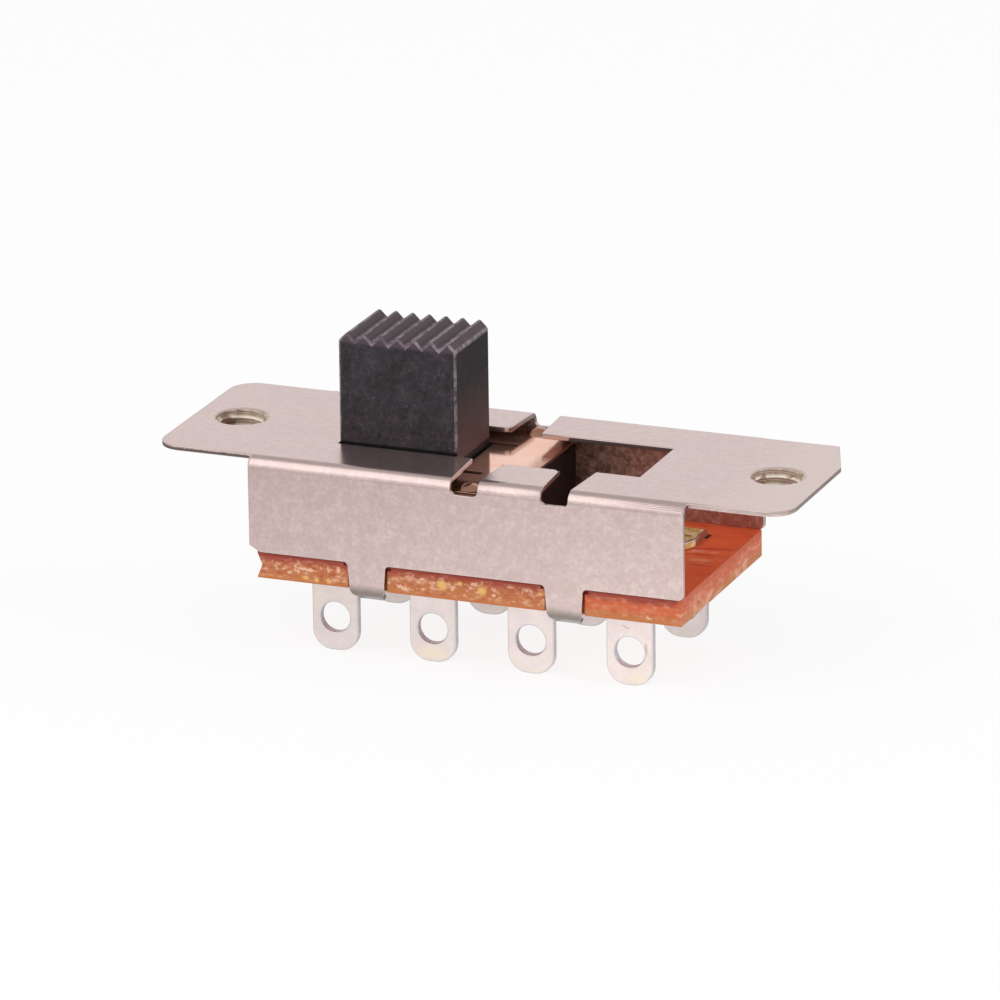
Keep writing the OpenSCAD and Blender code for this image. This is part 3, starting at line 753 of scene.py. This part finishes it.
def ringMesh(name, points):
    # quads between rows of points; each row is a closed ring
    rows, around = points.shape[:2]
    here = np.arange(rows * around).reshape(rows, around)
    beside = np.roll(here, -1, axis=1)
    quads = np.stack([here[:-1], beside[:-1], beside[1:], here[1:]], axis=-1).reshape(-1, 4)
    mesh = bpy.data.meshes.new(name)
    mesh.from_pydata(points.reshape(-1, 3).tolist(), [], quads.tolist())
    return mesh


def holePoints(s, centre, low):
    # rows go round the mouth's lip and down the bore; at each height the radius is the larger of the plain
    # profile's and the thread's, so the thread runs out through the lip; the thread's is the bore's plus
    # the depth times a V, 0 on the crests and 1 in the roots, of height / pitch - angle / full turn
    angle = np.linspace(0.0, 2.0 * np.pi, s["around"], endpoint=False)[None, :]
    bend = np.radians(np.linspace(4.0, 90.0, s["lipRows"]))
    lip, bore = s["lip"] * mm, s["boreRadius"] * mm
    below = np.linspace(topZ - lip, low + s["lead"] * mm, s["boreRows"])[1:]
    height = np.concatenate([topZ - lip * (1.0 - np.cos(bend)), below])[:, None]
    # the tap has left small dips and burrs round the lip, deepest half way down it
    wave = 0.5 + 0.3 * np.sin(11.0 * angle + 0.8 * np.sin(3.0 * angle)) + 0.2 * np.sin(7.0 * angle + 2.0)
    swell = np.clip(bend / 0.45, 0.0, 1.0) * np.clip((1.57 - bend) / 0.7, 0.0, 1.0)
    share = np.concatenate([swell, 0.0 * below])
    height = height - s["dip"] * mm * share[:, None] * wave
    plain = np.concatenate([bore + lip * (1.0 - np.sin(bend)), 0.0 * below + bore])[:, None]
    turn = height / (s["pitch"] * mm) - angle / (2.0 * np.pi) + s["start"]
    vee = 1.0 - np.abs(2.0 * (turn % 1.0) - 1.0)
    fade = np.clip((height - low) / (s["fade"] * mm), 0.0, 1.0)
    cut = bore + s["depth"] * mm * np.clip(1.25 * vee - 0.1, 0.0, 1.0) * fade
    radius = np.maximum(plain, cut)
    return np.stack([centre.x + radius * np.cos(angle), centre.y + radius * np.sin(angle),
                     height + 0.0 * angle], axis=-1)


def tapHole(bm, s, centre):
    # takes the plain lip and bore out and joins a threaded one to the two rims that are left
    def onHole(face):
        reach = max(math.hypot(v.co.x - centre.x, v.co.y - centre.y) for v in face.verts)
        return reach < (s["boreRadius"] + s["lip"] + 0.01) * mm
    wall = [f for f in bm.faces if onHole(f)]
    heights = [v.co.z for f in wall for v in f.verts]
    low, high = min(heights), max(heights)
    bmesh.ops.delete(bm, geom=wall, context="FACES")
    rims = [e for e in bm.edges if e.is_boundary]
    mesh = ringMesh("thread", holePoints(s, centre, low))
    old = set(bm.faces)
    bm.from_mesh(mesh)
    bpy.data.meshes.remove(mesh)
    for face in bm.faces:
        if face not in old:
            face.material_index = holeFinish
    ends = [e for e in bm.edges if e.is_boundary and e not in set(rims)]
    middle = (low + high) / 2
    for above in (False, True):
        loops = [e for e in ends + rims if (e.verts[0].co.z > middle) == above]
        joined = bmesh.ops.bridge_loops(bm, edges=loops)
        for face in joined["faces"]:
            face.material_index = ownFinish if above else holeFinish


frameSettings = {
    "edgeLimit": 0.36, "edgeRadius": 0.045, "edgeSteps": 2,
    # the walls lie beyond this distance from the middle, and their inner faces' normals point in by
    # more than this
    "wallReach": 5.8, "inward": 0.3,
    # the spots where a fold ends beside an ear: their size, depth below the top and least distance out
    "earGap": 0.15, "foldDepth": 0.6, "foldReach": 5.9,
}


def markInside(bm, s):
    # the faces that look in towards the middle, on the walls and inside the folds
    for face in bm.faces:
        spot = face.calc_center_median()
        onWall = face.material_index == ownFinish and abs(spot.y) > s["wallReach"] * mm
        if onWall and face.normal.y * spot.y < -s["inward"] * abs(spot.y):
            face.material_index = innerFinish


def makeFrame(s):
    bm = solidFromNode("frame")
    markThin(bm, s["edgeLimit"])
    markInside(bm, s)
    # the fold's facets are narrower than a rounded edge where they end beside the ears, so the long
    # edges that start there are split and their first bits stay plain
    wallOnly = topZ - 2 * mm             # below this height the frame is only its walls and tabs
    wallEnd = max(v.co.x for v in bm.verts if v.co.z < wallOnly)

    def besideEar(co):
        atEnd = abs(abs(co.x) - wallEnd) < s["earGap"] * mm
        return atEnd and co.z > topZ - s["foldDepth"] * mm and abs(co.y) > s["foldReach"] * mm

    for edge in list(bm.edges):
        inside = [v for v in edge.verts if besideEar(v.co)]
        if len(inside) == 1 and edge.calc_length() > 2 * s["earGap"] * mm:
            bmesh.utils.edge_split(edge, inside[0], 0.9 * s["earGap"] * mm / edge.calc_length())
    softenEdges(bm, s, besideEar)
    inset = threadSettings["holeInset"] * mm
    for x in (frameLow.x + inset, frameHigh.x - inset):
        tapHole(bm, threadSettings, Vector((x, plateCentre.y, topZ)))
    bmesh.ops.recalc_face_normals(bm, faces=bm.faces)
    finishPiece(bm, "foldedFrame", "housing", "nickel_plate",
                (nickel, nickelEdge, tappedThread, stainedInside), "frame")


terminalSettings = {
    "edgeLimit": 0.52, "edgeRadius": 0.08, "edgeSteps": 3, "holeHeight": 2.0, "holeRadius": 0.93,
}


def makeTerminals(s):
    for name in sorted(n for n in nodes if n.startswith("terminal")):
        bm = solidFromNode(name)
        markThin(bm, s["edgeLimit"])
        low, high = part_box(name)
        axis = (low.x + high.x) / 2
        for face in bm.faces:
            spot = face.calc_center_median()
            away = math.hypot(spot.x - axis, spot.z - s["holeHeight"] * mm)
            if away < s["holeRadius"] * mm and abs(face.normal.y) < 0.5:
                face.material_index = holeFinish
            if spot.z > boardHigh.z:
                face.material_index = innerFinish
        softenEdges(bm, s)
        finishPiece(bm, "tinned_" + name, "housing", "tinned_lug",
                    (tin, tinEdge, lugHoleWall, contactPad), name)


boardSettings = {"edgeRadius": 0.03, "edgeSteps": 2, "faceDepth": 0.02}


def makeBoard(s):
    # the smooth finish is only on the two flat faces, and the sawn one is on all the rest
    bm = solidFromNode("base_board")
    softenEdges(bm, s)
    for face in bm.faces:
        height = face.calc_center_median().z
        outer = min(abs(height - boardHigh.z), abs(height - boardLow.z)) < s["faceDepth"] * mm
        face.material_index = ownFinish if abs(face.normal.z) > 0.95 and outer else edgeFinish
    finishPiece(bm, "laminateBoard", "housing", "phenolic_board", (laminate, sawnLaminate), "base_board")


sliderSettings = {
    "edgeRadius": 0.13, "edgeSteps": 3,
    # the pockets: their least depth below the plate's top, and how far they reach from the middle
    "pocketDepth": 1.5, "pocketReach": 4.6,
}


def squareCorners(bm):
    # the knob's four rounded uprights become plain corners, which the softening then rounds again: the
    # slanting faces of each upright are merged into one point at its top and one at its foot
    knob = [v for v in bm.verts if v.co.z > knobOnly]
    low = Vector((min(v.co.x for v in knob), min(v.co.y for v in knob)))
    high = Vector((max(v.co.x for v in knob), max(v.co.y for v in knob)))
    middle = (low + high) / 2
    groups = {}
    for face in bm.faces:
        slanting = abs(face.normal.z) < 0.1 and min(abs(face.normal.x), abs(face.normal.y)) > 0.05
        if slanting and max(v.co.z for v in face.verts) > knobOnly:
            for v in face.verts:
                groups.setdefault((v.co.z > topZ, v.co.x > middle.x, v.co.y > middle.y), {})[v] = True
    for (_, right, back), group in sorted(groups.items(), key=lambda item: item[0]):
        corner = Vector((high.x if right else low.x, high.y if back else low.y, min(v.co.z for v in group)))
        bmesh.ops.pointmerge(bm, verts=list(group), merge_co=corner)
    bmesh.ops.dissolve_degenerate(bm, dist=0.001 * mm, edges=bm.edges)
    bm.normal_update()
    bmesh.ops.dissolve_limit(bm, angle_limit=flatAngle, verts=bm.verts, edges=bm.edges)
    bm.normal_update()


def makeSlider(s):
    bm = solidFromNode("slider")
    squareCorners(bm)

    # the edges of the pockets under the body stay plain
    def inPocket(co):
        return co.z < topZ - s["pocketDepth"] * mm and abs(co.y) < s["pocketReach"] * mm

    softenEdges(bm, s, inPocket)
    finishPiece(bm, "ridgedSlider", "actuator", "black_plastic", (blackPlastic,), "slider")


springSettings = {"edgeRadius": 0.03, "edgeSteps": 2}


def makeSpringParts(s):
    bm = solidFromNode("detent_spring")
    softenEdges(bm, s)
    finishPiece(bm, "bronzeDetentSpring", "actuator", "spring_bronze", (bronze,), "detent_spring")
    for side in ("front", "back"):
        bm = solidFromNode("moving_contact_" + side)
        softenEdges(bm, s)
        finishPiece(bm, "bridgingContact_" + side, "actuator", "contact_bronze", (contactBronze,),
                    "moving_contact_" + side)


coilSettings = {"turns": 4, "perTurn": 40, "wireSides": 14, "wire": 0.28, "flatness": 0.6}


def coilPoints(s, low, high):
    # a wire's round section carried along a helix; the climb is the share of the way, less flatness
    # times the sine of that share of a full turn over a full turn, so the first and last turns lie
    # nearly flat and it is quickest half way up
    steps = s["turns"] * s["perTurn"] + 1
    part = np.linspace(0.0, 1.0, steps)[:, None]
    angle = 2.0 * np.pi * s["turns"] * part
    around = np.linspace(0.0, 2.0 * np.pi, s["wireSides"], endpoint=False)[None, :]
    wireRadius = s["wire"] * mm / 2
    coilRadius = (high.x - low.x) / 2 - wireRadius
    climb = part - s["flatness"] * np.sin(2.0 * np.pi * part) / (2.0 * np.pi)
    level = low.z + wireRadius + (high.z - low.z - 2 * wireRadius) * climb
    reach = coilRadius + wireRadius * np.cos(around)
    centre = (low + high) / 2
    return np.stack([centre.x + reach * np.cos(angle), centre.y + reach * np.sin(angle),
                     level + wireRadius * np.sin(around)], axis=-1)


def makeCoils(s):
    for side in ("front", "back"):
        node = "contact_spring_" + side
        mesh = ringMesh("coil", coilPoints(s, *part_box(node)))
        bm = bmesh.new()
        bm.from_mesh(mesh)
        bpy.data.meshes.remove(mesh)
        bmesh.ops.holes_fill(bm, edges=[e for e in bm.edges if e.is_boundary], sides=s["wireSides"])
        bmesh.ops.recalc_face_normals(bm, faces=bm.faces)
        finishPiece(bm, "coilSpring_" + side, "actuator", "spring_steel", (wire,), node)


makeFrame(frameSettings)
print("frame made")
makeTerminals(terminalSettings)
makeBoard(boardSettings)
print("board and terminals made")
makeSlider(sliderSettings)
makeSpringParts(springSettings)
makeCoils(coilSettings)
print("slider and springs made")
